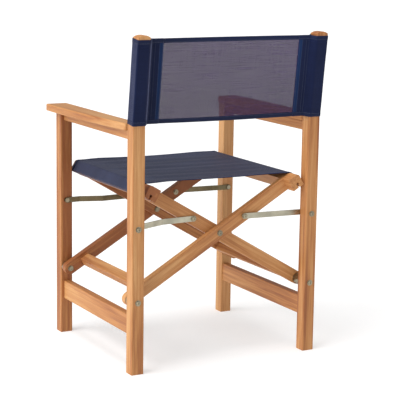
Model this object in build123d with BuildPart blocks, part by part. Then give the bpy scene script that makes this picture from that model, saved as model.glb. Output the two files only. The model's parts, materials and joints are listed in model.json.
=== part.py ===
"""Folding director chair with teak side frames, two scissor frames and a mesh seat and back.

The origin is on the floor at the middle of the footprint. +Z is up, the sitter faces -Y, and +X is the
sitter's left. Every "left" piece is on the +X side. Sizes are in millimetres.
"""

import os
from math import atan2, cos, degrees, hypot, radians, sin, sqrt

from build123d import *

# Legs and side frames
HALF_WIDTH = 280.0  # outer face of a leg
LEG_X = 35.0
LEG_Y = 34.0
HALF_DEPTH = 247.5  # front face of the front leg, back face of the rear leg
LEG_EDGE = 2.5
TENON_FIT = 0.05
TENON_LENGTH = 14.0
TENON_SHARE = 0.6  # of a rail's height
RAIL_EDGE = 2.0
ARM_UNDER_Z = 637.0
ARM_THICK = 19.0
BEND_Z = 650.0  # the rear post leans back above this height
POST_LEAN = 7.0  # degrees
POST_TOP_Z = 881.5
POST_ARCH_RISE = 7.0
POST_CROWN_R = 7.0

SIDE_RAIL_X = 21.0  # thickness of the stretcher and of the arm rail
SIDE_RAIL_INSET = 10.0  # from the leg's outer face
STRETCHER_Z = (99.0, 151.0)
ARM_RAIL_Z = (612.0, 637.0)

ARM_INNER_X = 245.0
ARM_OUTER_FRONT_X = 307.5
ARM_OUTER_REAR_X = 285.0
ARM_BOW_X = 302.5
ARM_FRONT_Y = -255.0
ARM_REAR_GAP = 4.0
ARM_FRONT_R = 5.0
ARM_REAR_R = 5.0
ARM_TOP_EDGE = 4.0

# Scissor frames, in the plane of their own bars
LOWER_PIVOT_Z = 192.0
CENTRE_PIVOT_Z = 346.0
LINK_PIVOT_H = 193.0  # above the lower pivot, on the leg
LINK_ON_BAR = 83.0  # from the centre pivot, up the bar
BAR_WIDTH = 35.0
BAR_THICK = 19.5
BAR_EDGE = 1.5
LEG_GAP = 8.0  # between a leg and an outer bar
BAR_GAP = 1.0  # between an outer bar and an inner bar

RAIL_START = 234.0  # inner face of a seat rail, from the centre pivot
RAIL_ALONG = 35.0
RAIL_HEIGHT = 35.0
RAIL_SHOULDER_R = 9.0
RAIL_EDGE_R = 3.0
RAIL_HALF_LENGTH = 236.5
SLOT_BACK = 15.5  # slot centre, in from the rail's outer face
SLOT_UP = 10.0  # slot centre, above the rail's lower face
SLOT_R = 4.0
SLOT_MOUTH = 4.0
BAR_TENON = (10.0, 24.0)  # length and width

CROSS_RAIL_ALONG = 27.5
CROSS_RAIL_DEEP = 24.0
CROSS_RAIL_FROM_PIVOT = 52.5
CROSS_TENON = (0.6, 0.5)  # of the cross rail's two sides

# Metalwork
BOLT_R = 4.0
BOLT_RUN = 0.05
HEAD_R = 6.0
HEAD_THICK = 3.0
HEAD_DOME_R = 1.8
SOCKET_R = 2.3
SOCKET_DEEP = 1.8
WASHER_R = 8.0
WASHER_THICK = 1.2
LINK_WIDTH = 15.0
LINK_THICK = 3.0
LINK_STANDOFF = 0.6
SPACER_R = 16.0
RIVET_THICK = 1.8
LINK_NUT_BORE_R = 1.5
SCREW_HEAD_R = 4.0
SCREW_HEAD_THICK = 2.0
SCREW_DOME_R = 1.2
SCREW_CROSS = (4.0, 0.9)
SCREW_UP = (9.0, 25.0)  # above the seat rail's lower edge
SCREW_ASIDE = 11.0  # from the bar's face
JOGGLE = (38.0, 100.0)  # where a cranked link bends, from its pivot on the leg

# Mesh sling
SLING_THICK = 1.2
SLING_GAP = 0.3
SEAT_FRONT_Y = -229.0
SEAT_REAR_Y = 200.0
SEAT_SAG = 4.0
WRAP_UP_ARC = 4.0  # the wrap ends this far along from the shoulder's centre
WRAP_TO_PANEL = 1.0
ROD_R = 3.0
BACK_BOTTOM_Z = 653.5
BACK_TOP_Z = 872.0
SLEEVE_MARGIN = 44.0

# Places that follow from the sizes above
PIVOT_X = HALF_WIDTH - LEG_X / 2
LEG_INNER_Y = HALF_DEPTH - LEG_Y
SIDE_RAIL_MID_X = HALF_WIDTH - SIDE_RAIL_INSET - SIDE_RAIL_X / 2
LOWER_BAR = hypot(PIVOT_X, CENTRE_PIVOT_Z - LOWER_PIVOT_Z)
SLOPE = degrees(atan2(CENTRE_PIVOT_Z - LOWER_PIVOT_Z, PIVOT_X))
OUTER_BAR_Y = LEG_INNER_Y - LEG_GAP - BAR_THICK / 2
INNER_BAR_Y = OUTER_BAR_Y - BAR_THICK - BAR_GAP
LINK_PIVOT_Z = LOWER_PIVOT_Z + LINK_PIVOT_H
LINK_LEG_Y = LEG_INNER_Y - LINK_STANDOFF - LINK_THICK / 2
RAIL_LOW = -BAR_WIDTH / 2
RAIL_MID = RAIL_START + RAIL_ALONG / 2
SHOULDER_ALONG = RAIL_START + RAIL_ALONG - RAIL_SHOULDER_R
SHOULDER_UP = RAIL_LOW + RAIL_HEIGHT - RAIL_SHOULDER_R
CROSS_MID = CROSS_RAIL_FROM_PIVOT - LOWER_BAR
CROSS_LOW = RAIL_LOW + CROSS_RAIL_DEEP / 2
SLING_OUT = SLING_GAP + SLING_THICK
LEAN = Vector(0, sin(radians(POST_LEAN)), cos(radians(POST_LEAN)))
BACK_Y = HALF_DEPTH + (POST_TOP_Z - BEND_Z) * LEAN.Y / LEAN.Z
TO_ORIGIN = Pos(0, -(ARM_FRONT_Y + BACK_Y) / 2, 0)  # the legs are modelled about Y = 0

os.makedirs("parts", exist_ok=True)


def save(builder, name):
    """Moves a finished piece to the chair's origin, labels it and writes it."""
    piece = TO_ORIGIN * builder.part
    piece.label = name
    export_step(piece, f"parts/{name}.step")


def bar_plane(side, y=0.0):
    """The plane of a scissor frame whose seat rail is on this side: x runs up the bar from the centre pivot."""
    uphill = (side * cos(radians(SLOPE)), 0, sin(radians(SLOPE)))
    return Plane(origin=(0, y, CENTRE_PIVOT_Z), x_dir=uphill, z_dir=(0, -side, 0))


def post_shift(z):
    """How far back the leaning post has moved at this height."""
    return max(0.0, z - BEND_Z) * LEAN.Y / LEAN.Z


def on_bar(side, along):
    """X and Z of a point on a bar's centre line."""
    return side * along * cos(radians(SLOPE)), CENTRE_PIVOT_Z + along * sin(radians(SLOPE))


def bolt_along_y(x, z, y_head, y_end, radius=BOLT_R, head=HEAD_R, tail=0.0):
    """A button-head bolt with its washer: the head bears at y_head and the shank ends at y_end.

    A tail is the thickness of the riveted end, which lies inside the shank's length.
    """
    out = 1 if y_head > y_end else -1
    face = Plane(origin=(x, y_head, z), z_dir=(0, out, 0))
    with BuildPart() as bolt:
        with BuildSketch(face.offset(WASHER_THICK)):
            Circle(head)
        extrude(amount=HEAD_THICK)
        fillet(bolt.faces().sort_by(Axis(face.origin, face.z_dir))[-1].edges(), HEAD_DOME_R)
        with BuildSketch(face.offset(WASHER_THICK + HEAD_THICK)):
            RegularPolygon(SOCKET_R, 6)
        extrude(amount=-SOCKET_DEEP, mode=Mode.SUBTRACT)
        with BuildSketch(face):
            Circle(head + WASHER_R - HEAD_R)
        extrude(amount=WASHER_THICK)
        with BuildSketch(face):
            Circle(radius)
        extrude(amount=-abs(y_head - y_end))
        if tail:
            with BuildSketch(Plane(origin=(x, y_end, z), z_dir=(0, out, 0))):
                Circle(head)
            extrude(amount=tail)
    return bolt.part


def ring_along_y(x, z, y_from, y_to, outer, inner):
    """A washer or spacer between two heights along Y."""
    with BuildPart() as ring:
        with BuildSketch(Plane(origin=(x, y_from, z), z_dir=(0, 1, 0))):
            Circle(outer)
            Circle(inner, mode=Mode.SUBTRACT)
        extrude(amount=y_to - y_from)
    return ring.part


def nut_along_y(x, z, y_face, out, radius=BOLT_R + BOLT_RUN):
    """A round nut and its washer, which bear on y_face and stand out along out."""
    face = Plane(origin=(x, y_face, z), z_dir=(0, out, 0))
    with BuildPart() as nut:
        with BuildSketch(face):
            Circle(WASHER_R)
            Circle(radius, mode=Mode.SUBTRACT)
        extrude(amount=WASHER_THICK)
        with BuildSketch(face.offset(WASHER_THICK)):
            Circle(HEAD_R)
            Circle(radius, mode=Mode.SUBTRACT)
        extrude(amount=HEAD_THICK)
    return nut.part


def group(name, solids):
    """Writes several identical fasteners as one node of separate solids."""
    node = Compound(children=[TO_ORIGIN * solid for solid in solids])
    node.label = name
    export_step(node, f"parts/{name}.step")


# Side frames -------------------------------------------------------------------------------------------------
def leg_mortises(x, y_open, into):
    """Cuts the stretcher's and the arm rail's mortises into the leg under way."""
    for low, high in (STRETCHER_Z, ARM_RAIL_Z):
        with Locations((x, y_open + into * TENON_LENGTH / 2, (low + high) / 2)):
            Box(SIDE_RAIL_X / 2, TENON_LENGTH, (high - low) * TENON_SHARE, mode=Mode.SUBTRACT)


def leg_holes(x):
    """Drills the lower pivot's and the link pivot's holes through the leg under way, along Y."""
    for z in (LOWER_PIVOT_Z, LINK_PIVOT_Z):
        with Locations(Location((x, 0, z), (90, 0, 0))):
            Cylinder(BOLT_R, 3 * HALF_DEPTH, mode=Mode.SUBTRACT)


def make_rear_leg(side):
    lean_y = post_shift(POST_TOP_Z)
    with BuildPart() as rear_leg:
        with BuildSketch(Plane.YZ.offset(side * PIVOT_X)) as profile:
            with BuildLine():
                Polyline(
                    (LEG_INNER_Y, 0),
                    (HALF_DEPTH, 0),
                    (HALF_DEPTH, BEND_Z),
                    (HALF_DEPTH + lean_y, POST_TOP_Z),
                    (LEG_INNER_Y + lean_y, POST_TOP_Z),
                    (LEG_INNER_Y, BEND_Z),
                    close=True,
                )
            make_face()
            fillet(profile.vertices().group_by(Axis.Y)[-1], POST_CROWN_R)
        extrude(amount=LEG_X / 2, both=True)
        fillet(rear_leg.edges().filter_by(lambda edge: edge.length > 3 * LEG_X), LEG_EDGE)
        with BuildSketch(Plane.XZ):
            with BuildLine():
                arch = ThreePointArc(
                    (side * PIVOT_X + LEG_X / 2, POST_TOP_Z - POST_ARCH_RISE),
                    (side * PIVOT_X, POST_TOP_Z),
                    (side * PIVOT_X - LEG_X / 2, POST_TOP_Z - POST_ARCH_RISE),
                )
                Polyline(
                    arch @ 1,
                    (side * PIVOT_X - LEG_X / 2, 0),
                    (side * PIVOT_X + LEG_X / 2, 0),
                    arch @ 0,
                )
            make_face()
        extrude(amount=2 * HALF_DEPTH, both=True, mode=Mode.INTERSECT)
        leg_mortises(side * SIDE_RAIL_MID_X, LEG_INNER_Y, 1)
        leg_holes(side * PIVOT_X)
    return rear_leg


def make_front_leg(side):
    with BuildPart() as front_leg:
        with BuildSketch(Plane.XY):
            with Locations((side * PIVOT_X, -HALF_DEPTH + LEG_Y / 2)):
                RectangleRounded(LEG_X, LEG_Y, LEG_EDGE)
        extrude(amount=ARM_UNDER_Z)
        with Locations((side * PIVOT_X, -HALF_DEPTH + LEG_Y / 2, ARM_UNDER_Z + TENON_LENGTH / 4)):
            Box(LEG_X / 2, LEG_Y / 2, TENON_LENGTH / 2)
        leg_mortises(side * SIDE_RAIL_MID_X, -LEG_INNER_Y, -1)
        leg_holes(side * PIVOT_X)
    return front_leg


def make_side_rail(side, low, high):
    """A stretcher or an arm rail with a tenon at each end."""
    middle = (side * SIDE_RAIL_MID_X, 0, (low + high) / 2)
    with BuildPart() as side_rail:
        with Locations(middle):
            Box(SIDE_RAIL_X, 2 * LEG_INNER_Y, high - low)
        fillet(side_rail.edges().filter_by(Axis.Y), RAIL_EDGE)
        with Locations(middle):
            Box(
                SIDE_RAIL_X / 2 - 2 * TENON_FIT,
                2 * (LEG_INNER_Y + TENON_LENGTH - TENON_FIT),
                (high - low) * TENON_SHARE - 2 * TENON_FIT,
            )
    return side_rail


def make_armrest(side):
    rear_y = LEG_INNER_Y - ARM_REAR_GAP
    with BuildPart() as armrest:
        with BuildSketch(Plane.XY.offset(ARM_UNDER_Z)) as outline:
            with BuildLine():
                Line((side * ARM_INNER_X, rear_y), (side * ARM_INNER_X, ARM_FRONT_Y))
                Line((side * ARM_INNER_X, ARM_FRONT_Y), (side * ARM_OUTER_FRONT_X, ARM_FRONT_Y))
                ThreePointArc(
                    (side * ARM_OUTER_FRONT_X, ARM_FRONT_Y),
                    (side * ARM_BOW_X, 0),
                    (side * ARM_OUTER_REAR_X, rear_y),
                )
                Line((side * ARM_OUTER_REAR_X, rear_y), (side * ARM_INNER_X, rear_y))
            make_face()
            fillet(outline.vertices().group_by(Axis.Y)[0], ARM_FRONT_R)
            fillet(outline.vertices().group_by(Axis.Y)[-1], ARM_REAR_R)
        extrude(amount=ARM_THICK)
        fillet(armrest.faces().sort_by(Axis.Z)[-1].edges(), ARM_TOP_EDGE)
        fillet(armrest.faces().sort_by(Axis.Z)[0].edges(), ARM_TOP_EDGE / 2)
        with Locations((side * PIVOT_X, -HALF_DEPTH + LEG_Y / 2, ARM_UNDER_Z + TENON_LENGTH / 4)):
            Box(
                LEG_X / 2 + 2 * TENON_FIT,
                LEG_Y / 2 + 2 * TENON_FIT,
                TENON_LENGTH / 2 + 2 * TENON_FIT,
                mode=Mode.SUBTRACT,
            )
    return armrest


def make_side(side, name):
    """One side frame. The left one carries the outer bars, the right one the inner bars."""
    save(make_rear_leg(side), f"rear_leg_{name}")
    save(make_front_leg(side), f"front_leg_{name}")
    save(make_armrest(side), f"armrest_{name}")
    save(make_side_rail(side, *ARM_RAIL_Z), f"arm_rail_{name}")
    save(make_side_rail(side, *STRETCHER_Z), f"stretcher_{name}")

    bar_y = OUTER_BAR_Y if side > 0 else INNER_BAR_Y
    pivot = (side * PIVOT_X, LOWER_PIVOT_Z)
    far_end = bar_y - BAR_THICK / 2 - WASHER_THICK - HEAD_THICK
    near_face = bar_y + BAR_THICK / 2
    far_face = bar_y - BAR_THICK / 2 - LINK_STANDOFF / 2
    group(f"pivot_bolts_{name}", [bolt_along_y(*pivot, end * HALF_DEPTH, end * far_end) for end in (1, -1)])
    group(
        f"pivot_nuts_{name}",
        [nut_along_y(*pivot, end * far_face, -end, BOLT_R) for end in (1, -1)],
    )
    group(
        f"pivot_spacers_{name}",
        [
            ring_along_y(
                *pivot, end * (near_face + LINK_STANDOFF / 2), end * LEG_INNER_Y, SPACER_R, BOLT_R
            )
            for end in (1, -1)
        ],
    )

    link_pin = (side * PIVOT_X, LINK_PIVOT_Z)
    pin_end = LINK_LEG_Y - LINK_THICK / 2 - LINK_STANDOFF / 2 - RIVET_THICK
    group(
        f"link_pins_{name}",
        [bolt_along_y(*link_pin, end * HALF_DEPTH, end * pin_end, tail=RIVET_THICK) for end in (1, -1)],
    )


for side, name in ((1, "left"), (-1, "right")):
    make_side(side, name)


# Scissor frames ----------------------------------------------------------------------------------------------
def make_bar(side, y):
    """A bar with a round lower end at the leg's pivot and a tenon at the seat rail."""
    plane = bar_plane(side, y)
    with BuildPart() as bar:
        with BuildSketch(plane):
            with Locations(((RAIL_START - LOWER_BAR) / 2, 0)):
                Rectangle(RAIL_START + LOWER_BAR, BAR_WIDTH)
            with Locations((-LOWER_BAR, 0)):
                Circle(BAR_WIDTH / 2)
        extrude(amount=BAR_THICK / 2, both=True)
        rims = bar.faces().filter_by(Axis.Y).edges()
        fillet(rims.filter_by(lambda edge: edge.center().Z < on_bar(1, RAIL_START - 1)[1]), BAR_EDGE)
        with BuildSketch(plane):
            with Locations((RAIL_START + BAR_TENON[0] / 2, 0)):
                Rectangle(*BAR_TENON)
        extrude(amount=BAR_THICK / 4, both=True)
        with BuildSketch(plane):
            with Locations((0, 0), (-LOWER_BAR, 0)):
                Circle(BOLT_R + BOLT_RUN)
        extrude(amount=BAR_THICK, both=True, mode=Mode.SUBTRACT)
        with BuildSketch(plane):
            with Locations((CROSS_MID, CROSS_LOW)):
                Rectangle(CROSS_RAIL_ALONG * CROSS_TENON[0], CROSS_RAIL_DEEP * CROSS_TENON[1])
        to_middle = side if y > 0 else -side
        extrude(amount=to_middle * BAR_THICK / 2, mode=Mode.SUBTRACT)
    return bar


def make_cross_rail(side, half_length):
    """The lower rail between the front and the rear bar, near their lower ends."""
    with BuildPart() as cross_rail:
        with BuildSketch(bar_plane(side)):
            with Locations((CROSS_MID, CROSS_LOW)):
                RectangleRounded(CROSS_RAIL_ALONG, CROSS_RAIL_DEEP, RAIL_EDGE)
        extrude(amount=half_length, both=True)
        with BuildSketch(bar_plane(side)):
            with Locations((CROSS_MID, CROSS_LOW)):
                Rectangle(
                    CROSS_RAIL_ALONG * CROSS_TENON[0] - 2 * TENON_FIT,
                    CROSS_RAIL_DEEP * CROSS_TENON[1] - 2 * TENON_FIT,
                )
        extrude(amount=half_length + BAR_THICK / 2 - TENON_FIT, both=True)
    return cross_rail


def rail_outline(grow=0.0):
    """The seat rail's section: a round shoulder at the outer top corner and small rounds elsewhere."""
    with BuildSketch() as outline:
        with Locations((RAIL_MID, RAIL_LOW + RAIL_HEIGHT / 2)):
            Rectangle(RAIL_ALONG, RAIL_HEIGHT)
        high = outline.vertices().group_by(Axis.Y)[-1].sort_by(Axis.X)
        low = outline.vertices().group_by(Axis.Y)[0].sort_by(Axis.X)
        fillet(high[-1], RAIL_SHOULDER_R)
        fillet([high[0], *low], RAIL_EDGE_R)
        if grow:
            offset(amount=grow)
    return outline.sketch


SLOT_CENTRE = (RAIL_START + RAIL_ALONG - SLOT_BACK, RAIL_LOW + SLOT_UP)


def make_seat_rail(side, bar_y):
    """The rail that carries one edge of the seat, with its keyhole slot and the bars' mortises."""
    plane = bar_plane(side)
    with BuildPart() as seat_rail:
        with BuildSketch(plane):
            add(rail_outline())
        extrude(amount=RAIL_HALF_LENGTH, both=True)
        with BuildSketch(plane):
            with Locations(SLOT_CENTRE):
                Circle(SLOT_R)
            with Locations((SLOT_CENTRE[0], SLOT_CENTRE[1] - SLOT_UP / 2)):
                Rectangle(SLOT_MOUTH, SLOT_UP + 1)
        extrude(amount=RAIL_HALF_LENGTH + 1, both=True, mode=Mode.SUBTRACT)
        for y in (bar_y, -bar_y):
            with BuildSketch(bar_plane(side, y)):
                with Locations((RAIL_START + BAR_TENON[0] / 2, 0)):
                    Rectangle(BAR_TENON[0] + 2 * TENON_FIT, BAR_TENON[1] + 2 * TENON_FIT)
            extrude(amount=BAR_THICK / 4 + TENON_FIT, both=True, mode=Mode.SUBTRACT)
    return seat_rail


def make_centre_bolt(end):
    """The bolt on which the front or the rear pair of bars turns, with its nut on the inner bar."""
    inner_face = INNER_BAR_Y - BAR_THICK / 2 - LINK_STANDOFF / 2
    head_y = OUTER_BAR_Y + BAR_THICK / 2
    end_y = inner_face - WASHER_THICK - HEAD_THICK
    bolt = bolt_along_y(0, CENTRE_PIVOT_Z, end * head_y, end * end_y)
    nut = nut_along_y(0, CENTRE_PIVOT_Z, end * inner_face, -end, BOLT_R)
    return bolt, nut


def make_rail_screws(side, bar_y):
    """Two round-head screws beside each bar, in the seat rail's inner face."""
    screws = []
    for y in (bar_y, -bar_y):
        beside = y - (BAR_THICK / 2 + SCREW_ASIDE) * (1 if y > 0 else -1)
        for up in SCREW_UP:
            plane = bar_plane(side, beside)
            spot = plane.from_local_coords(Vector(RAIL_START, RAIL_LOW + up, 0))
            face = Plane(origin=spot, z_dir=-plane.x_dir)
            with BuildPart() as screw:
                with BuildSketch(face):
                    Circle(SCREW_HEAD_R)
                extrude(amount=SCREW_HEAD_THICK)
                fillet(screw.edges().sort_by(Axis(spot, -plane.x_dir))[-1], SCREW_DOME_R)
                with BuildSketch(face.offset(SCREW_HEAD_THICK)):
                    Rectangle(*SCREW_CROSS)
                    Rectangle(*reversed(SCREW_CROSS))
                extrude(amount=-SCREW_HEAD_THICK / 2, mode=Mode.SUBTRACT)
            screws.append(screw.part)
    return screws


def make_scissor(side, name, rail_name, cross_name, bar_y):
    """One of the two scissor frames: two bars, the seat rail at their upper ends and a cross rail below."""
    for y, end_name in ((bar_y, "rear"), (-bar_y, "front")):
        save(make_bar(side, y), f"{name}_bar_{end_name}")
    save(make_cross_rail(side, bar_y - BAR_THICK / 2), f"cross_rail_{cross_name}")
    save(make_seat_rail(side, bar_y), f"seat_rail_{rail_name}")
    group(f"rail_screws_{rail_name}", make_rail_screws(side, bar_y))
    link_nut_y = bar_y - BAR_THICK / 2
    link_x, link_z = on_bar(side, LINK_ON_BAR)
    group(
        f"link_nuts_{rail_name}",
        [nut_along_y(link_x, link_z, end * link_nut_y, -end, LINK_NUT_BORE_R) for end in (1, -1)],
    )


make_scissor(-1, "outer", "right", "left", OUTER_BAR_Y)
make_scissor(1, "inner", "left", "right", INNER_BAR_Y)

centre_parts = [make_centre_bolt(end) for end in (1, -1)]
group("centre_bolts", [bolt for bolt, nut in centre_parts])
group("centre_nuts", [nut for bolt, nut in centre_parts])
washer_from = INNER_BAR_Y + BAR_THICK / 2 + LINK_STANDOFF / 2
washer_to = OUTER_BAR_Y - BAR_THICK / 2
group(
    "centre_washers",
    [
        ring_along_y(0, CENTRE_PIVOT_Z, end * washer_from, end * washer_to, WASHER_R, BOLT_R)
        for end in (1, -1)
    ],
)


# Links -------------------------------------------------------------------------------------------------------
def make_link(side, end, bar_face):
    """A flat steel link from the leg to the face of its bar, cranked where the bar lies further in."""
    bar_x, bar_z = on_bar(side, LINK_ON_BAR)
    leg_spot = Vector(side * PIVOT_X, 0, LINK_PIVOT_Z)
    along = Vector(bar_x, 0, bar_z) - leg_spot
    length = along.length
    crank = bar_face + LINK_STANDOFF + LINK_THICK / 2 if side > 0 else LINK_LEG_Y
    half = LINK_THICK / 2
    reach = LINK_WIDTH / 2 + 1
    edge_on = Plane(origin=leg_spot, x_dir=along, z_dir=along.cross(Vector(0, end, 0)))
    with BuildPart() as link:
        with BuildSketch(edge_on):
            with BuildLine():
                Polyline(
                    (-reach, LINK_LEG_Y - half),
                    (JOGGLE[0], LINK_LEG_Y - half),
                    (JOGGLE[1], crank - half),
                    (length + reach, crank - half),
                    (length + reach, crank + half),
                    (JOGGLE[1], crank + half),
                    (JOGGLE[0], LINK_LEG_Y + half),
                    (-reach, LINK_LEG_Y + half),
                    close=True,
                )
            make_face()
        extrude(amount=LINK_WIDTH / 2, both=True)
        face_on = Plane(origin=leg_spot, x_dir=along, z_dir=(0, 1, 0))
        with BuildSketch(face_on):
            with Locations((length / 2, 0)):
                SlotCenterToCenter(length, LINK_WIDTH)
        extrude(amount=2 * HALF_DEPTH, both=True, mode=Mode.INTERSECT)
        with BuildSketch(face_on):
            Circle(BOLT_R + BOLT_RUN)
        extrude(amount=2 * HALF_DEPTH, both=True, mode=Mode.SUBTRACT)
        with BuildSketch(face_on):
            with Locations((length, 0)):
                Circle(BOLT_R)
        extrude(amount=2 * HALF_DEPTH, both=True, mode=Mode.SUBTRACT)
    return link


def make_link_stud(side, end, bar_face):
    """The button-head stud in the link's bar end. It stops short of the bar, where the loop is opened."""
    bar_x, bar_z = on_bar(side, LINK_ON_BAR)
    link_mid = bar_face + LINK_STANDOFF + LINK_THICK / 2 if side > 0 else LINK_LEG_Y
    head_y = link_mid + LINK_THICK / 2
    with BuildPart() as stud:
        add(bolt_along_y(bar_x, bar_z, end * head_y, end * (bar_face + LINK_STANDOFF)))
        if side < 0:
            add(
                ring_along_y(
                    bar_x,
                    bar_z,
                    end * (bar_face + LINK_STANDOFF),
                    end * (link_mid - LINK_THICK / 2),
                    HEAD_R,
                    BOLT_R,
                )
            )
    return stud


for side, side_name, bar_y in ((1, "left", INNER_BAR_Y), (-1, "right", OUTER_BAR_Y)):
    for end, end_name in ((1, "rear"), (-1, "front")):
        bar_face = bar_y + BAR_THICK / 2
        save(make_link(side, end, bar_face), f"link_{end_name}_{side_name}")
        save(make_link_stud(side, end, bar_face), f"link_stud_{end_name}_{side_name}")


# Mesh seat ---------------------------------------------------------------------------------------------------
SEAT_MID_Y = (SEAT_FRONT_Y + SEAT_REAR_Y) / 2
SEAT_LONG = SEAT_REAR_Y - SEAT_FRONT_Y
WRAP_START = SHOULDER_ALONG + WRAP_UP_ARC


def make_seat_wrap(side):
    """The seat's mesh where it lies over the rail's shoulder, down the outer face and up to the slot."""
    with BuildPart() as wrap:
        with BuildSketch(bar_plane(side, SEAT_MID_Y)):
            add(rail_outline(SLING_OUT))
            add(rail_outline(SLING_GAP), mode=Mode.SUBTRACT)
            with Locations((WRAP_START, 0)):
                Rectangle(2 * RAIL_ALONG, RAIL_HEIGHT, align=(Align.MAX, Align.MIN), mode=Mode.SUBTRACT)
            with Locations((SLOT_CENTRE[0] - SLOT_MOUTH / 2, 0)):
                Rectangle(2 * RAIL_ALONG, RAIL_HEIGHT, align=(Align.MAX, Align.MAX), mode=Mode.SUBTRACT)
        extrude(amount=SEAT_LONG / 2, both=True)
    return wrap


def make_seat_rod(side):
    """The rod in the sling's edge, which the keyhole slot holds."""
    with BuildPart() as rod:
        with BuildSketch(bar_plane(side, SEAT_MID_Y)):
            with Locations(SLOT_CENTRE):
                Circle(ROD_R)
        extrude(amount=SEAT_LONG / 2 + 2, both=True)
    return rod


def seat_edge(height):
    """X and Z, on the left, of the place where the seat leaves the rail, this far off the rail's shoulder."""
    aside = WRAP_UP_ARC - WRAP_TO_PANEL
    up = SHOULDER_UP + sqrt((RAIL_SHOULDER_R + height) ** 2 - aside**2)
    spot = bar_plane(1).from_local_coords(Vector(SHOULDER_ALONG + aside, up, 0))
    return spot.X, spot.Z


def make_seat_panel():
    """The mesh between the two rails, with a slight sag."""
    low_x, low_z = seat_edge(SLING_GAP)
    high_x, high_z = seat_edge(SLING_GAP + SLING_THICK)
    with BuildPart() as panel:
        with BuildSketch(Plane.XZ.offset(-SEAT_MID_Y)):
            with BuildLine():
                ThreePointArc((-low_x, low_z), (0, low_z - SEAT_SAG), (low_x, low_z))
                Line((low_x, low_z), (high_x, high_z))
                ThreePointArc((high_x, high_z), (0, high_z - SEAT_SAG), (-high_x, high_z))
                Line((-high_x, high_z), (-low_x, low_z))
            make_face()
        extrude(amount=SEAT_LONG / 2, both=True)
    return panel


for side, name in ((1, "left"), (-1, "right")):
    save(make_seat_wrap(side), f"seat_wrap_{name}")
    save(make_seat_rod(side), f"seat_rod_{name}")
save(make_seat_panel(), "seat_panel")


# Mesh back ---------------------------------------------------------------------------------------------------
def post_plane(x, z):
    """A plane square to the leaning post, at its middle, with y pointing to the back."""
    middle = Vector(x, HALF_DEPTH - LEG_Y / 2 + post_shift(z), z)
    return Plane(origin=middle, x_dir=(1, 0, 0), z_dir=LEAN)


SLEEVE_LONG = (BACK_TOP_Z - BACK_BOTTOM_Z) / LEAN.Z
SLEEVE_CLEAR = 2 * SLING_GAP
PANEL_HALF = PIVOT_X - LEG_X / 2 - SLEEVE_CLEAR - SLING_THICK - SLING_GAP


def make_back_sleeve(side):
    """The tube of mesh around a post."""
    outer = 2 * (SLEEVE_CLEAR + SLING_THICK)
    with BuildPart() as sleeve:
        with BuildSketch(post_plane(side * PIVOT_X, BACK_BOTTOM_Z)):
            RectangleRounded(LEG_X + outer, LEG_Y + outer, LEG_EDGE + SLING_THICK)
            RectangleRounded(
                LEG_X + 2 * SLEEVE_CLEAR, LEG_Y + 2 * SLEEVE_CLEAR, LEG_EDGE, mode=Mode.SUBTRACT
            )
        extrude(amount=SLEEVE_LONG)
    return sleeve


def make_back_panel():
    """The single layer of open mesh between the posts, doubled along its two stitched margins."""
    with BuildPart() as panel:
        with BuildSketch(post_plane(0, BACK_BOTTOM_Z)):
            Rectangle(2 * PANEL_HALF, SLING_THICK)
            for side in (1, -1):
                with Locations((side * (PANEL_HALF - SLEEVE_MARGIN / 2), 0)):
                    Rectangle(SLEEVE_MARGIN, 2 * SLING_THICK)
        extrude(amount=SLEEVE_LONG)
    return panel


for side, name in ((1, "left"), (-1, "right")):
    save(make_back_sleeve(side), f"back_sleeve_{name}")
save(make_back_panel(), "back_panel")
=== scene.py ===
"""Looks for the folding director chair: oiled teak, navy mesh slings with hems and stitching, satin steel.

Every position is in the CAD frame, in metres: +Z up, the sitter faces -Y, +X is the sitter's left.
"""

import json
import math

import bpy
from mathutils import Matrix, Vector, noise


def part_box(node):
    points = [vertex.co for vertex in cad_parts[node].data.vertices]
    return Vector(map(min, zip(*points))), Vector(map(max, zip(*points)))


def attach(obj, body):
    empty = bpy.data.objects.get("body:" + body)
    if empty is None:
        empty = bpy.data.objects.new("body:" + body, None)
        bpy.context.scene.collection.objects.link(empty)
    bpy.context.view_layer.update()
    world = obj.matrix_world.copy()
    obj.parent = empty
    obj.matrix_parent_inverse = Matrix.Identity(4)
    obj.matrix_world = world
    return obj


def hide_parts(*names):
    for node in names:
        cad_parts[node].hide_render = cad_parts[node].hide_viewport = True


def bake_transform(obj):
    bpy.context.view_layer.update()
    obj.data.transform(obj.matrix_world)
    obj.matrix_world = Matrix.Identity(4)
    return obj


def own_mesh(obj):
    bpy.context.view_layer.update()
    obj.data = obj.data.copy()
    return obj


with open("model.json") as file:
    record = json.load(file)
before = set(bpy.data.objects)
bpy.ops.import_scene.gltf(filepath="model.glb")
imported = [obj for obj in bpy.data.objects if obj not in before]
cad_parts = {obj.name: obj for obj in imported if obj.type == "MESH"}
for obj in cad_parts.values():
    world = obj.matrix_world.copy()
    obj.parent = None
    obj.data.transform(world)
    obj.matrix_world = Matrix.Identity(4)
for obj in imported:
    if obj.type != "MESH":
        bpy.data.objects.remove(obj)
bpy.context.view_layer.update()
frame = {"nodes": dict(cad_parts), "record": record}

# Sizes shared with the CAD part
LEGS_Y = sum(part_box("centre_bolts")[i].y for i in (0, 1)) / 2  # middle of the legs' depth
PIVOT_X = sum(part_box("rear_leg_left")[i].x for i in (0, 1)) / 2
LEG_X = 0.035
LEG_Y = 0.034
HALF_DEPTH = 0.2475
BEND_Z = 0.650
POST_LEAN = math.radians(7.0)
LOWER_PIVOT_Z = 0.192
CENTRE_PIVOT_Z = 0.346
RAIL_OUTER = 0.269  # the seat rail's outer face, from the centre pivot along the bar
RAIL_ACROSS = (-0.0175, 0.0175)
RAIL_SHOULDER_R = 0.009
RAIL_LOWER_R = 0.003
SLOT_IN = 0.0155  # slot centre, in from the rail's outer face
SEAT_Y = (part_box("seat_panel")[0].y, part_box("seat_panel")[1].y)
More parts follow.
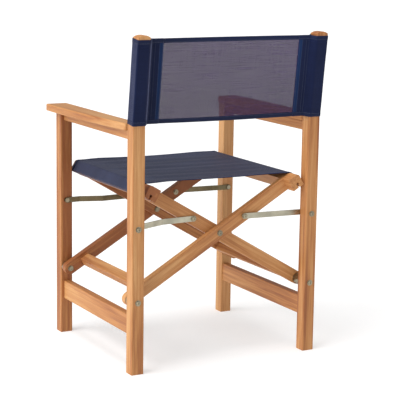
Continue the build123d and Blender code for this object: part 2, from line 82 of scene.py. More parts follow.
BACK_Z = (0.6535, 0.872)
MARGIN = 0.044  # from a post to the edge of its sleeve's margin
SLOPE = math.atan2(CENTRE_PIVOT_Z - LOWER_PIVOT_Z, PIVOT_X)
LEAN = Vector((0, math.sin(POST_LEAN), math.cos(POST_LEAN)))
LEAN_BACK = Vector((0, math.cos(POST_LEAN), -math.sin(POST_LEAN)))

# Sewing
CLOTH = 0.0008  # thickness of one layer of mesh
CLOTH_INSET = 0.001  # the cloth and the stitches stop this far inside the hems' outer edges
HEM_WIDE = 0.012
HEM_PROUD = 0.0004
HEM_STITCH = 0.0095  # from a hem's outer edge to its stitches
STITCH_LONG = 0.0030
STITCH_GAP = 0.0013
STITCH_WIDE = 0.0007
STITCH_FLAT = 0.7  # height of a stitch, as a share of its width
STITCH_DIP = 0.35  # how much its middle line sinks as it gets thinner, as a share of its width
STITCH_SIDES = 6
STITCH_BEAD = ((0.0, 0.25), (0.2, 0.9), (0.5, 1.0), (0.8, 0.9), (1.0, 0.25))  # (share along, share of width)


# Node helpers --------------------------------------------------------------------------------------
class Nodes:
    """A small builder for one material's node tree."""

    def __init__(self, name):
        self.material = bpy.data.materials.new(name)
        self.material.use_nodes = True
        self.tree = self.material.node_tree
        self.shader = self.tree.nodes["Principled BSDF"]

    def new(self, kind, inputs=None, **settings):
        node = self.tree.nodes.new(kind)
        for key, value in settings.items():
            setattr(node, key, value)
        for key, value in (inputs or {}).items():
            self.put(node.inputs[key], value)
        return node

    def put(self, socket, value):
        if isinstance(value, bpy.types.NodeSocket):
            self.tree.links.new(value, socket)
        else:
            socket.default_value = value

    def look(self, inputs):
        """Fills the shader's own inputs."""
        for key, value in inputs.items():
            self.put(self.shader.inputs[key], value)

    def place(self):
        return self.new("ShaderNodeTexCoord").outputs["Object"]

    def stretched(self, vector, scale):
        return self.new("ShaderNodeMapping", {"Vector": vector, "Scale": scale}).outputs[0]

    def noise(self, vector, scale, detail, roughness=0.5, distortion=0.0):
        settings = {"Scale": scale, "Detail": detail, "Roughness": roughness, "Distortion": distortion}
        return self.new("ShaderNodeTexNoise", {"Vector": vector, **settings}).outputs["Fac"]

    def math(self, operation, a, b=0.0, clamp=False):
        return self.new("ShaderNodeMath", {0: a, 1: b}, operation=operation, use_clamp=clamp).outputs[0]

    def ramp(self, factor, stops):
        node = self.new("ShaderNodeValToRGB", {"Fac": factor})
        ramp = node.color_ramp
        while len(ramp.elements) < len(stops):
            ramp.elements.new(0.5)
        for element, (place, colour) in zip(ramp.elements, stops):
            element.position = place
            element.color = (*colour, 1.0)
        return node.outputs["Color"]

    def spread(self, value, low, high, to_low, to_high):
        limits = {"From Min": low, "From Max": high, "To Min": to_low, "To Max": to_high}
        return self.new("ShaderNodeMapRange", {"Value": value, **limits}).outputs[0]

    def mix(self, factor, a, b, blend="MIX"):
        node = self.new("ShaderNodeMix", data_type="RGBA", blend_type=blend)
        colours = [s for s in node.inputs if s.type == "RGBA"]
        self.put(node.inputs["Factor"], factor)
        self.put(colours[0], a)
        self.put(colours[1], b)
        return [s for s in node.outputs if s.type == "RGBA"][0]

    def bump(self, height, strength, distance):
        node = self.new("ShaderNodeBump", {"Height": height, "Strength": strength, "Distance": distance})
        self.put(self.shader.inputs["Normal"], node.outputs["Normal"])


# Teak ----------------------------------------------------------------------------------------------
TEAK_PALE = (0.650, 0.352, 0.142)
TEAK_MID = (0.505, 0.222, 0.074)
TEAK_DARK = (0.290, 0.096, 0.030)
TEAK_PORE = (0.160, 0.065, 0.025)


def teak(name, turn, offset, tone):
    """Oiled teak whose grain runs along local X once the row frame is turned by turn."""
    n = Nodes(name)
    mapping = {"Vector": n.place(), "Rotation": turn, "Location": offset}
    laid = n.new("ShaderNodeMapping", mapping).outputs[0]

    def along_grain(stretch, *noise_settings):
        return n.noise(n.stretched(laid, (1.0, stretch, stretch)), *noise_settings)

    boards = along_grain(10, 2.2, 3, 0.5, 0.6)
    streaks = along_grain(34, 4.5, 7, 0.62, 0.25)
    fibres = along_grain(60, 26, 4, 0.7)
    pores = n.spread(along_grain(26, 90, 2, 0.5), 0.64, 0.72, 0.0, 1.0)
    mixed = n.math("ADD", n.math("MULTIPLY", boards, 0.5), n.math("MULTIPLY", streaks, 0.5))
    # tone moves the whole board lighter or darker: a random board tone, and for the listed boards painted
    # shade and painted light
    shade = n.math("ADD", n.spread(mixed, 0.37, 0.63, 0.0, 1.0), tone)
    colour = n.ramp(shade, [(0.0, TEAK_DARK), (0.5, TEAK_MID), (1.0, TEAK_PALE)])
    colour = n.mix(n.spread(fibres, 0.35, 0.7, 0.0, 0.34), colour, (*TEAK_DARK, 1))
    colour = n.mix(n.math("MULTIPLY", pores, 0.35), colour, (*TEAK_PORE, 1))
    rough = n.spread(streaks, 0.3, 0.7, 0.42, 0.58)
    n.look({"Base Color": colour, "Roughness": rough, "Specular IOR Level": 0.35})
    n.bump(n.math("SUBTRACT", n.math("MULTIPLY", fibres, 0.5), pores), 0.22, 0.0006)
    return n.material


# Mesh fabric ---------------------------------------------------------------------------------------
MESH_PITCH = 0.0016
YARN_STRETCH = (520, 9)  # a yarn's tone changes fast from yarn to yarn, and slowly along each one
BAND_EDGE = 0.0004  # width over which an edge strip's colour fades in


def mesh_cloth(name, yarn, gap, cover=None, band=None, gloss=0.2, sheen=0.04):
    """Coated polyester mesh: yarns at a fixed pitch both ways, dark where the gaps are.

    cover is the share that hides what is behind, over a gap and over a yarn. band is (width, whole
    length, colour) of the cloth's two edge strips. gloss is the coating's shine, and sheen its pale
    look at a low angle.
    """
    n = Nodes(name)
    metres = n.new("ShaderNodeUVMap", uv_map="metres").outputs[0]
    uv = n.new("ShaderNodeSeparateXYZ", {0: metres})
    ridges = []
    for axis in ("X", "Y"):
        wave = n.math("SINE", n.math("MULTIPLY", uv.outputs[axis], math.pi / MESH_PITCH))
        ridges.append(n.math("ABSOLUTE", wave))
    yarns = n.spread(n.math("MAXIMUM", *ridges), 0.55, 0.95, 0.0, 1.0)
    over = n.math("MULTIPLY", *ridges)
    fast, slow = YARN_STRETCH
    run_y = n.noise(n.stretched(metres, (fast, slow, 1)), 1.0, 3.0)
    run_x = n.noise(n.stretched(metres, (slow, fast, 1)), 1.0, 3.0)
    slubs = n.math("ADD", n.math("MULTIPLY", run_y, 0.3), n.math("MULTIPLY", run_x, 0.7))
    # broad lighter and darker bands across the cloth: painted light and shade of soft folds
    broad = n.noise(n.stretched(n.place(), (1.6, 11, 3)), 1.6, 2.0)
    colour = n.mix(yarns, (*gap, 1), (*yarn, 1))
    if band:
        width, length, tone = band
        near = n.math("MINIMUM", uv.outputs["X"], n.math("SUBTRACT", length, uv.outputs["X"]))
        inside = n.spread(near, width, width + BAND_EDGE, 1.0, 0.0)
        colour = n.mix(inside, colour, (*tone, 1))
    # the yarns' own uneven tone, with the painted fold light and shade added
    tint = n.math("ADD", n.spread(slubs, 0.35, 0.65, 0.86, 1.14), n.spread(broad, 0.3, 0.7, -0.22, 0.22))
    grey = n.new("ShaderNodeCombineColor", {0: tint, 1: tint, 2: tint}).outputs[0]
    n.look(
        {
            "Base Color": n.mix(1.0, colour, grey, "MULTIPLY"),
            "Roughness": n.spread(over, 0.0, 1.0, 0.65, 0.5),
            "Specular IOR Level": gloss,
            "Sheen Weight": sheen,
            "Sheen Roughness": 0.4,
            "Sheen Tint": (0.55, 0.6, 0.95, 1),
        }
    )
    if cover:
        uneven = n.spread(slubs, 0.3, 0.7, -0.05, 0.05)
        hidden = n.math("ADD", n.spread(yarns, 0.0, 1.0, *cover), uneven, clamp=True)
        n.look({"Alpha": hidden})
    n.bump(n.math("ADD", n.math("MULTIPLY", over, 0.6), yarns), 0.35, 0.0003)
    return n.material


def thread():
    n = Nodes("sewing_thread")
    twist = n.noise(n.place(), 900.0, 2.0)
    colour = n.ramp(twist, [(0.3, (0.035, 0.045, 0.09)), (0.7, (0.07, 0.085, 0.15))])
    n.look({"Base Color": colour, "Roughness": 0.5})
    n.bump(twist, 0.3, 0.0002)
    return n.material


# Steel and plastic ---------------------------------------------------------------------------------
STEEL_DULL = 0.62  # brightness of the dull clouds, as a share of the clean metal's


def brushed_steel(name, stretch, base, roughness):
    n = Nodes(name)
    place = n.place()
    brush = n.noise(n.stretched(place, stretch), 30.0, 5.0)
    cloud = n.noise(place, 22.0, 3.0)
    dull = tuple(c * STEEL_DULL for c in base)
    colour = n.ramp(cloud, [(0.32, dull), (0.68, base)])
    rough = n.spread(brush, 0.3, 0.7, roughness - 0.08, roughness + 0.1)
    n.look({"Base Color": colour, "Roughness": rough, "Metallic": 1.0})
    n.bump(brush, 0.15, 0.0003)
    return n.material


def dark_rod():
    n = Nodes("dark_rod")
    grain = n.noise(n.place(), 300.0, 3.0)
    colour = n.ramp(grain, [(0.3, (0.02, 0.02, 0.024)), (0.7, (0.04, 0.04, 0.046))])
    n.look({"Base Color": colour, "Roughness": 0.5})
    n.bump(grain, 0.2, 0.0002)
    return n.material


# Materials on the CAD pieces -----------------------------------------------------------------------
UPRIGHT = (0.0, math.pi / 2, 0.0)
FRONT_TO_BACK = (0.0, 0.0, math.pi / 2)
BOARD_TONES = (0.02, -0.08, 0.10, -0.02, 0.06, -0.12)  # in turn, for boards not listed below
# Whole-board tones: the front left leg, the front bars and the left seat rail darker as painted shade, the
# front right and rear left legs lighter as painted light, the rear bars a little lighter
PAINTED_LIGHT_AND_SHADE_TONES = {
    "front_leg_left": -0.38,
    "front_leg_right": 0.5,
    "rear_leg_left": 0.06,
    "outer_bar_front": -0.6,
    "outer_bar_rear": 0.10,
    "inner_bar_front": -0.45,
    "inner_bar_rear": 0.06,
    "seat_rail_left": -0.8,
}


def grain_turn(node):
    """How the row frame turns so that local X runs along this piece."""
    if "leg" in node:
        return UPRIGHT
    if node.startswith("outer_bar"):
        return (0.0, -SLOPE, 0.0)
    if node.startswith("inner_bar"):
        return (0.0, SLOPE, 0.0)
    return FRONT_TO_BACK


def dress_cad():
    """Puts a material on every CAD piece: each board has its own grain and tone, some boards darkened as
    painted shade and some lightened as painted light, and the front links get a darker steel as painted
    shade.
    """
    slots = {s["node"]: s["material_slot"] for s in frame["record"]["subparts"]}
    steel = {
        "link_rear": brushed_steel("link_steel", (1, 8, 30), (0.52, 0.49, 0.38), 0.36),
        # the front links' steel is darker: painted shade from the seat above them
        "link_front": brushed_steel("link_steel_painted_shade", (1, 8, 30), (0.19, 0.15, 0.085), 0.36),
        "other": brushed_steel("fastener_steel", (12, 1, 12), (0.42, 0.37, 0.26), 0.32),
    }
    rod = dark_rod()
    boards = sorted(node for node, slot in slots.items() if slot == "teak")
    for node, piece in frame["nodes"].items():
        if slots[node] == "teak":
            i = boards.index(node)
            offset = (0.37 * i, 0.61 * i + 0.1, 0.83 * i)
            # the listed boards' tones hold painted shade and painted light
            tone = PAINTED_LIGHT_AND_SHADE_TONES.get(node, BOARD_TONES[i % len(BOARD_TONES)])
            material = teak(f"teak_{node}", grain_turn(node), offset, tone)
        elif slots[node] == "rod":
            material = rod
        else:
            material = next((steel[kind] for kind in steel if node.startswith(kind)), steel["other"])
        piece.data.materials.clear()
        piece.data.materials.append(material)


# Cloth geometry ------------------------------------------------------------------------------------
class Strip:
    """A cloth surface: a path swept along a straight axis, with a normal at each point of the path.

    ease(point, share) moves a point of the cloth off the plain surface, such as a sag or a soft fold.
    share is how far across the sweep the point lies, from 0 to 1.
    """

    def __init__(self, path, normals, axis, length, ease):
        self.path = path
        self.normals = normals
        self.axis = axis
        self.length = length
        self.ease = ease
        self.run = [0.0]
        for a, b in zip(path, path[1:]):
            self.run.append(self.run[-1] + (b - a).length)

    def at(self, i, across, out=0.0):
        point = self.path[i] + self.axis * across + self.normals[i] * out
        return self.ease(point, across / self.length)

    def between(self, along, across, out):
        """The point at a length along the path, which may lie between two of the path's own points."""
        along = min(max(along, 0.0), self.run[-1] - 1e-9)
        i = next(k for k in range(len(self.run) - 1) if self.run[k + 1] > along)
        share = (along - self.run[i]) / (self.run[i + 1] - self.run[i])
        return self.at(i, across, out).lerp(self.at(i + 1, across, out), share)


def directions(path):
    """The path's direction at each of its points."""
    last = len(path) - 1
    return [(path[min(i + 1, last)] - path[max(i - 1, 0)]).normalized() for i in range(len(path))]


def smooth_piece(name, vertices, faces, material):
    """A piece with smooth faces and one material, linked into the scene."""
    mesh = bpy.data.meshes.new(name)
    mesh.from_pydata([tuple(v) for v in vertices], [], faces)
    for polygon in mesh.polygons:
        polygon.use_smooth = True
    mesh.materials.append(material)
    piece = bpy.data.objects.new(name, mesh)
    bpy.context.scene.collection.objects.link(piece)
    return piece


def build(name, rows, uv, material, closed=False):
    """A mesh from rows of points, joined row to row. closed also joins each row's ends and caps the mesh."""
    count = len(rows[0])
    last = len(rows) - 1
    faces = []
    for i in range(last):
        for j in range(count if closed else count - 1):
            k = (j + 1) % count
            faces.append([(i, j), (i, k), (i + 1, k), (i + 1, j)])
    if closed:
        faces.append([(0, j) for j in reversed(range(count))])
        faces.append([(last, j) for j in range(count)])
    vertices = [point for row in rows for point in row]
    numbered = [[i * count + j for i, j in face] for face in faces]
    piece = smooth_piece(name, vertices, numbered, material)
    layer = piece.data.uv_layers.new(name="metres")
    corners = [corner for face in faces for corner in face]
    for loop, (i, j) in zip(layer.data, corners):
        loop.uv = uv(i, j)
    piece.data.update()
    return piece


def thicken(piece):
    """Gives the cloth its real thickness, and makes the result the piece's own mesh."""
    modifier = piece.modifiers.new("thickness", "SOLIDIFY")
    modifier.thickness = CLOTH
    modifier.offset = 0.0
    modifier.use_even_offset = True
    bpy.context.view_layer.update()
    graph = bpy.context.evaluated_depsgraph_get()
    made = bpy.data.meshes.new_from_object(piece.evaluated_get(graph))
    piece.modifiers.clear()
    piece.data = made
    return piece


def sheet_piece(name, strip, material, step):
    """The cloth itself, one layer thick. It leaves its two edges to their hems."""
    span = strip.length - 2 * CLOTH_INSET
    count = round(span / step)
    places = [CLOTH_INSET + span * j / count for j in range(count + 1)]
    rows = [[strip.at(i, across) for across in places] for i in range(len(strip.path))]
    return thicken(build(name, rows, lambda i, j: (strip.run[i], places[j]), material))


def hem_piece(name, strip, span, material, thick, skip):
    """A folded hem over the cloth's edge, rounded at both of its own edges.

    span is where it starts and ends across the strip. skip leaves out that many of the path's points
    at each end.
    """
    low, high = span
    half = thick / 2
    turns = [math.pi / 4 * k for k in range(5)]
    section = [(high - half * (1 - math.sin(a)), half * math.cos(a)) for a in turns]
    section += [(low + half * (1 - math.sin(a)), -half * math.cos(a)) for a in turns]
    covered = range(skip, len(strip.path) - skip)
    rows = [[strip.at(i, across, out) for across, out in section] for i in covered]
    return build(name, rows, lambda i, j: (strip.run[skip + i], section[j][0]), material, closed=True)


def hem_pair(names, strip, material, thick, skip=0):
    """The hems over a strip's two edges."""
    spans = ((0.0, HEM_WIDE), (strip.length - HEM_WIDE, strip.length))
    return [hem_piece(name, strip, span, material, thick, skip) for name, span in zip(names, spans)]


def stitch_row(strip, out, start, stop, across=None, along=None):
    """The two ends of each stitch in a row, which runs along the path at across, or across it at along."""
    pitch = STITCH_LONG + STITCH_GAP
    places = []
    for k in range(int((stop - start) / pitch)):
        middle = start + pitch * (k + 0.5)
        ends = (middle - STITCH_LONG / 2, middle + STITCH_LONG / 2)
        if along is None:
            places.append([strip.between(end, across, out) for end in ends])
        else:
            places.append([strip.between(along, end, out) for end in ends])
    return places


def hem_stitches(strip, out, start, stop):
    """The stitch rows of a strip's two hems."""
    rows = []
    for across in (HEM_STITCH, strip.length - HEM_STITCH):
        rows += stitch_row(strip, out, start, stop, across=across)
    return rows


def stitch_piece(name, places, outward, material):
    """Rows of thread stitches as one mesh: each is a short bead that dips at both ends."""
    vertices, faces = [], []
    for a, b in places:
        direction = (b - a).normalized()
        up = outward((a + b) / 2)
        up = (up - direction * up.dot(direction)).normalized()
        side = direction.cross(up)
        first = len(vertices)
        for share, fat in STITCH_BEAD:
            centre = a.lerp(b, share) + up * STITCH_WIDE * STITCH_DIP * (fat - 0.5)
            for k in range(STITCH_SIDES):
                turn = 2 * math.pi * k / STITCH_SIDES
                ring = side * math.cos(turn) + up * math.sin(turn) * STITCH_FLAT
                vertices.append(centre + ring * STITCH_WIDE / 2 * fat)
        last = len(vertices) - STITCH_SIDES
        for ring_start in range(first, last, STITCH_SIDES):
            for k in range(STITCH_SIDES):
                a_side, b_side = ring_start + k, ring_start + (k + 1) % STITCH_SIDES
                faces.append((a_side, b_side, b_side + STITCH_SIDES, a_side + STITCH_SIDES))
        faces.append(tuple(first + k for k in reversed(range(STITCH_SIDES))))
        faces.append(tuple(last + k for k in range(STITCH_SIDES)))
    return smooth_piece(name, vertices, faces, material)


# Seat ----------------------------------------------------------------------------------------------
SEAT_GAP = 0.0003  # between the wood and the cloth
SEAT_OFF = SEAT_GAP + CLOTH / 2  # from the wood to the middle of the cloth
SEAT_SAG = 0.0025
SEAT_SPAN = 48
SEAT_HEM_THICK = CLOTH * 2 + HEM_PROUD
SEAT_BROAD_FOLD = 0.0011  # half height of the broad folds across the seat
SEAT_FINE_FOLD = 0.0008
SEAT_UNEVEN = 0.0012
SEAT_EDGE_LIFT = 0.0024  # the hems are tight, and lie above the folds
SEAT_EDGE_PULL = 0.0035  # how far the edges pull in, half way between the rails
SHOULDER_TURN = 61.5  # degrees round the rail's shoulder, to where the cloth leaves it
SHOULDER_STEPS = 10
HEM_SKIP = 3  # points of the path in the slot, where there is no hem
STITCH_SKIP = 12  # points of the path before the stitches, which start half way up the rail's outer face


def rail_point(along, across):
    """A point of the left seat rail's section, in XZ."""
    x = along * math.cos(SLOPE) - across * math.sin(SLOPE)
    z = CENTRE_PIVOT_Z + along * math.sin(SLOPE) + across * math.cos(SLOPE)
    return Vector((x, 0, z))


def rail_wrap():
    """The cloth's line from the left slot, under the rail, up its outer face and over the shoulder."""
    low, high = RAIL_ACROSS
    slot = RAIL_OUTER - SLOT_IN
    under = low - SEAT_OFF
    line = [(slot, low + 0.003), (slot, low), (slot + 0.0012, under), (slot + 0.005, under)]
    corner = (RAIL_OUTER - RAIL_LOWER_R, low + RAIL_LOWER_R)
    reach = RAIL_LOWER_R + SEAT_OFF
    for k in range(7):
        a = math.radians(-90 + 15 * k)
        line.append((corner[0] + reach * math.cos(a), corner[1] + reach * math.sin(a)))
    shoulder = (RAIL_OUTER - RAIL_SHOULDER_R, high - RAIL_SHOULDER_R)
    straight = shoulder[1] - corner[1]
    line += [(RAIL_OUTER + SEAT_OFF, corner[1] + straight * k / 4) for k in range(1, 4)]
    reach = RAIL_SHOULDER_R + SEAT_OFF
    for k in range(SHOULDER_STEPS + 1):
        a = math.radians(SHOULDER_TURN * k / SHOULDER_STEPS)
        line.append((shoulder[0] + reach * math.cos(a), shoulder[1] + reach * math.sin(a)))
    return [rail_point(along, across) for along, across in line]


def seat_line():
    """The seat's whole line in XZ, from the left slot over both rails to the right slot."""
    left = rail_wrap()
    edge = left[-1]
    middle = []
    for k in range(1, SEAT_SPAN):
        x = edge.x * (1 - 2 * k / SEAT_SPAN)
        share = x / edge.x
        middle.append(Vector((x, 0, edge.z - SEAT_SAG * (1 - share * share))))
    right = [Vector((-p.x, 0, p.z)) for p in reversed(left)]
    return left + middle + right, edge


def seat_ease(edge):
    """Soft tension folds across the seat, and edges that pull in a little between the rails."""

    def ease(point, share):
        inside = max(0.0, 1 - abs(point.x) / edge.x)
        grip = min(1.0, inside * 3.0)
        grip = grip * grip * (3 - 2 * grip)
        y = point.y
        fan = 1.0 + 0.25 * point.x / edge.x
        broad = SEAT_BROAD_FOLD * math.sin(y * 62 * fan + 0.8)
        fine = SEAT_FINE_FOLD * math.sin(y * 117 + point.x * 6 + 2.0)
        uneven = SEAT_UNEVEN * noise.noise(Vector((point.x * 5, y * 16, 4.2)))
        wave = broad + fine + uneven
        end = abs(2 * share - 1)
        lift = SEAT_EDGE_LIFT * end**6
        pull = -SEAT_EDGE_PULL * inside * (2 - inside) * (2 * share - 1) ** 3
        return Vector((point.x, y + pull * grip, point.z + (wave * (1 - 0.5 * end) + lift) * grip))

    return ease


def make_seat(cloth, hem, sewing):
    path, edge = seat_line()
    front, rear = SEAT_Y
    path = [Vector((p.x, front, p.z)) for p in path]
    normals = [Vector((along.z, 0, -along.x)) for along in directions(path)]
    strip = Strip(path, normals, Vector((0, 1, 0)), rear - front, seat_ease(edge))
    seat = sheet_piece("seat_sling", strip, cloth, step=0.007)
    hems = hem_pair(("seat_hem_front", "seat_hem_rear"), strip, hem, SEAT_HEM_THICK, skip=HEM_SKIP)
    start = strip.run[STITCH_SKIP]
    rows = hem_stitches(strip, SEAT_HEM_THICK / 2, start, strip.run[-1] - start)
    sewn = stitch_piece("seat_stitching", rows, lambda p: Vector((0, 0, 1)), sewing)
    for piece in (seat, *hems, sewn):
        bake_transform(piece)
    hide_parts("seat_panel", "seat_wrap_left", "seat_wrap_right")


# Back ----------------------------------------------------------------------------------------------
SLEEVE_GAP = 0.0002  # between the wood and the cloth
SLEEVE_OFF = SLEEVE_GAP + CLOTH / 2  # from the wood to the middle of the cloth
SLEEVE_SLACK = 0.0005
SLEEVE_CORNER_R = 0.0035
SLEEVE_HEM_THICK = CLOTH + 2 * HEM_PROUD
SLEEVE_BAND = 0.011  # width of the bluer strip along each margin's edge
LAYER_OFF = 0.00135  # each margin layer, from the panel's plane
SEAM_IN = 0.013  # from the post to the seam beside it
MARGIN_STITCHES = (0.0025, 0.0105, 0.023, 0.0305)  # rows of stitches, from the margin's edge
PANEL_HEM_THICK = CLOTH * 1.6
PANEL_TUCK = 0.035  # how far the panel reaches in between the margin's layers
PANEL_SPAN = 60
PANEL_BELLY = 0.0020  # how far it bows to the rear, half way between the posts
PANEL_UNEVEN = 0.0008
PANEL_STAND = 0.0010  # how far its upper and lower edges bow outwards there


def post_foot(x):
    """The middle of the leaning post where the cloth starts, in the row frame."""
    drift = (BACK_Z[0] - BEND_Z) * math.tan(POST_LEAN)
    return Vector((x, LEGS_Y + HALF_DEPTH - LEG_Y / 2 + drift, BACK_Z[0]))


def sleeve_line(side):
    """The sleeve's line round a post: rear margin layer, round the post, front margin layer."""
    half_x, half_y = LEG_X / 2 + SLEEVE_OFF, LEG_Y / 2 + SLEEVE_OFF
    r = SLEEVE_CORNER_R
    inner = -(LEG_X / 2 + MARGIN)
    seam = -(LEG_X / 2 + SEAM_IN)
    rear = [(inner + (seam - inner) * k / 8, LAYER_OFF) for k in range(9)]
    rise = half_y - LAYER_OFF
    run = -half_x + r - seam
    for k in range(1, 9):
        t = k / 9
        rear.append((seam + run * t, LAYER_OFF + rise * (t * t * (3 - 2 * t)) * 0.97))
    for k in range(9):
        rear.append((-half_x + r + (2 * half_x - 2 * r) * k / 8, half_y))
    for k in range(1, 6):
        a = math.radians(90 - 18 * k)
        rear.append((half_x - r + r * math.cos(a), half_y - r + r * math.sin(a)))
    for k in range(1, 9):
        rear.append((half_x, (half_y - r) * (1 - k / 8)))
    front = [(x, -y) for x, y in reversed(rear[:-1])]
    return [(side * x, y) for x, y in rear + front]


def sleeve_run():
    """The sleeve's length round the post, from one margin's edge to the other's."""
    line = [Vector(p) for p in sleeve_line(1)]
    return sum((b - a).length for a, b in zip(line, line[1:]))


def make_sleeve(side, name, cloth, hem, sewing):
    foot = post_foot(side * PIVOT_X)
    length = (BACK_Z[1] - BACK_Z[0]) / LEAN.z
    path = [foot + Vector((x, 0, 0)) + LEAN_BACK * y for x, y in sleeve_line(side)]
    normals = [along.cross(LEAN).normalized() * -side for along in directions(path)]

    def ease(point, share):
        """The cloth is a little loose round the post."""
        away = point - (foot + LEAN * share * length)
        place = Vector((point.x * 40, point.y * 40, point.z * 14 + side * 3))
        slack = max(SLEEVE_SLACK * noise.noise(place), -SLEEVE_GAP)
        return point + Vector((away.x, away.y, 0)).normalized() * slack

    def outward(point):
        """Sideways on the post's outer face, and elsewhere away from the panel's plane."""
        off = point - foot - LEAN * (point - foot).dot(LEAN)
        if off.x * side > LEG_X / 2:
            return Vector((side, 0, 0))
        return LEAN_BACK * (1 if off.dot(LEAN_BACK) > 0 else -1)

    strip = Strip(path, normals, LEAN, length, ease)
    sleeve = sheet_piece(f"back_sleeve_cloth_{name}", strip, cloth, step=0.008)
    hem_names = (f"back_sleeve_hem_low_{name}", f"back_sleeve_hem_high_{name}")
    hems = hem_pair(hem_names, strip, hem, SLEEVE_HEM_THICK)
    rows = []
    for inset in MARGIN_STITCHES:
        for along in (inset, strip.run[-1] - inset):
            rows += stitch_row(strip, CLOTH / 2, CLOTH_INSET, length - CLOTH_INSET, along=along)
    rows += hem_stitches(strip, SLEEVE_HEM_THICK / 2, CLOTH_INSET, strip.run[-1] - CLOTH_INSET)
    sewn = stitch_piece(f"back_stitching_{name}", rows, outward, sewing)
    for piece in (sleeve, *hems, sewn):
        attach(piece, f"side_{name}")
    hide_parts(f"back_sleeve_{name}")


def make_back_panel(cloth, hem, sewing):
    free = PIVOT_X - LEG_X / 2 - MARGIN
    half = free + PANEL_TUCK
    foot = post_foot(0.0)
    length = (BACK_Z[1] - BACK_Z[0]) / LEAN.z
    path = [foot + Vector((half * (1 - 2 * k / PANEL_SPAN), 0, 0)) for k in range(PANEL_SPAN + 1)]

    def ease(point, share):
        """Between the margins the panel bellies back a little, and its two edges stand out a little."""
        inside = max(0.0, 1 - (point.x / free) ** 2)
        stand = PANEL_STAND * inside * (2 * share - 1)
        uneven = noise.noise(Vector((point.x * 7, point.z * 18, 1.7)))
        belly = PANEL_BELLY * inside + PANEL_UNEVEN * inside * uneven
        return point + LEAN * stand + LEAN_BACK * belly

    strip = Strip(path, [LEAN_BACK] * len(path), LEAN, length, ease)
    panel = sheet_piece("back_panel_cloth", strip, cloth, step=0.008)
    hems = hem_pair(("back_panel_hem_low", "back_panel_hem_high"), strip, hem, PANEL_HEM_THICK)
    sewn = []
    start = PANEL_TUCK + CLOTH_INSET
    for face, turn in (("rear", 1), ("front", -1)):
        rows = hem_stitches(strip, turn * PANEL_HEM_THICK / 2, start, strip.run[-1] - start)
        outward = LEAN_BACK * turn
        sewn.append(stitch_piece(f"back_panel_stitching_{face}", rows, lambda p, o=outward: o, sewing))
    for piece in (panel, *hems, *sewn):
        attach(piece, "side_left")
        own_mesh(piece)
    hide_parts("back_panel")


# Stage ---------------------------------------------------------------------------------------------
FLOOR_REACH = 30.0
FLOOR_GREY = 0.62
FLOOR_GLOW = 0.46
WORLD_STRENGTH = 0.42

CAMERA_AT = (1.8514, 3.4595, 1.1295)
CAMERA_AZIMUTH = math.radians(151.272)
CAMERA_ELEVATION = math.radians(10.485)
CAMERA_ROLL = math.radians(0.880)
CAMERA_SENSOR = 36.0  # millimetres
CAMERA_LENS = 129.24


def make_floor():
    mesh = bpy.data.meshes.new("floor")
    corners = [(x * FLOOR_REACH, y * FLOOR_REACH, 0) for x, y in ((-1, -1), (1, -1), (1, 1), (-1, 1))]
    mesh.from_pydata(corners, [], [(0, 1, 2, 3)])
    n = Nodes("pale_floor")
    n.look(
        {
            "Base Color": (FLOOR_GREY, FLOOR_GREY, FLOOR_GREY, 1),
            "Emission Color": (1, 1, 1, 1),
            "Emission Strength": FLOOR_GLOW,
            "Roughness": 0.9,
            "Specular IOR Level": 0.1,
        }
    )
    mesh.materials.append(n.material)
    floor = bpy.data.objects.new("floor", mesh)
    bpy.context.scene.collection.objects.link(floor)


def make_sun(name, toward, softness, power):
    """An even soft light from one direction. softness is its width in degrees."""
    data = bpy.data.lights.new(name, "SUN")
    data.angle = math.radians(softness)
    data.energy = power
    lamp = bpy.data.objects.new(name, data)
    lamp.rotation_mode = "QUATERNION"
    lamp.rotation_quaternion = (-Vector(toward)).to_track_quat("-Z", "Y")
    bpy.context.scene.collection.objects.link(lamp)


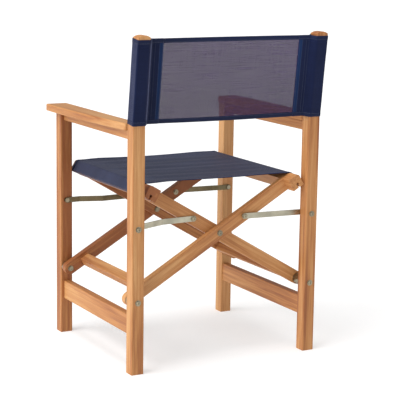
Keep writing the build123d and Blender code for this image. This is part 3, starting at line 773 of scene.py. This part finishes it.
def make_stage():
    make_floor()
    world = bpy.data.worlds.new("studio")
    world.use_nodes = True
    background = world.node_tree.nodes["Background"]
    background.inputs["Color"].default_value = (1.0, 1.0, 1.0, 1)
    background.inputs["Strength"].default_value = WORLD_STRENGTH
    scene = bpy.context.scene
    scene.world = world
    scene.view_settings.view_transform = "Standard"
    scene.view_settings.look = "None"
    scene.view_settings.exposure = 0.0
    make_sun("key", (0.84, 0.10, 0.48), 60, 2.7)
    make_sun("top", (0.10, 0.05, 1.0), 24, 1.0)


def make_camera():
    data = bpy.data.cameras.new("camera")
    data.sensor_width = CAMERA_SENSOR
    data.lens = CAMERA_LENS
    data.clip_end = 100.0
    camera = bpy.data.objects.new("camera", data)
    level = math.cos(CAMERA_ELEVATION)
    toward_y = -math.cos(CAMERA_AZIMUTH) * level
    back = Vector((math.sin(CAMERA_AZIMUTH) * level, toward_y, math.sin(CAMERA_ELEVATION)))
    right = (-back).cross(Vector((0, 0, 1))).normalized()
    up = right.cross(-back)
    across = right * math.cos(CAMERA_ROLL) + up * math.sin(CAMERA_ROLL)
    upward = up * math.cos(CAMERA_ROLL) - right * math.sin(CAMERA_ROLL)
    rows = [(across[i], upward[i], back[i], CAMERA_AT[i]) for i in range(3)]
    camera.matrix_world = Matrix((*rows, (0, 0, 0, 1)))
    bpy.context.scene.collection.objects.link(camera)
    bpy.context.scene.camera = camera


make_camera()
dress_cad()
sewing_thread = thread()
seat_cloth = mesh_cloth("seat_mesh", (0.034, 0.040, 0.078), (0.014, 0.017, 0.036))
hem_cloth = mesh_cloth("hem_mesh", (0.008, 0.014, 0.050), (0.004, 0.007, 0.028), gloss=0.15, sheen=0.2)
sleeve_cloth = mesh_cloth(
    "sleeve_mesh",
    (0.0065, 0.0115, 0.045),
    (0.0035, 0.0065, 0.025),
    band=(SLEEVE_BAND, sleeve_run(), (0.006, 0.021, 0.076)),
    gloss=0.08,
    sheen=0.5,
)
panel_cloth = mesh_cloth("back_mesh", (0.040, 0.019, 0.080), (0.032, 0.016, 0.064), cover=(0.52, 0.82))
make_seat(seat_cloth, hem_cloth, sewing_thread)
for side, name in ((1, "left"), (-1, "right")):
    make_sleeve(side, name, sleeve_cloth, hem_cloth, sewing_thread)
make_back_panel(panel_cloth, hem_cloth, sewing_thread)
make_stage()
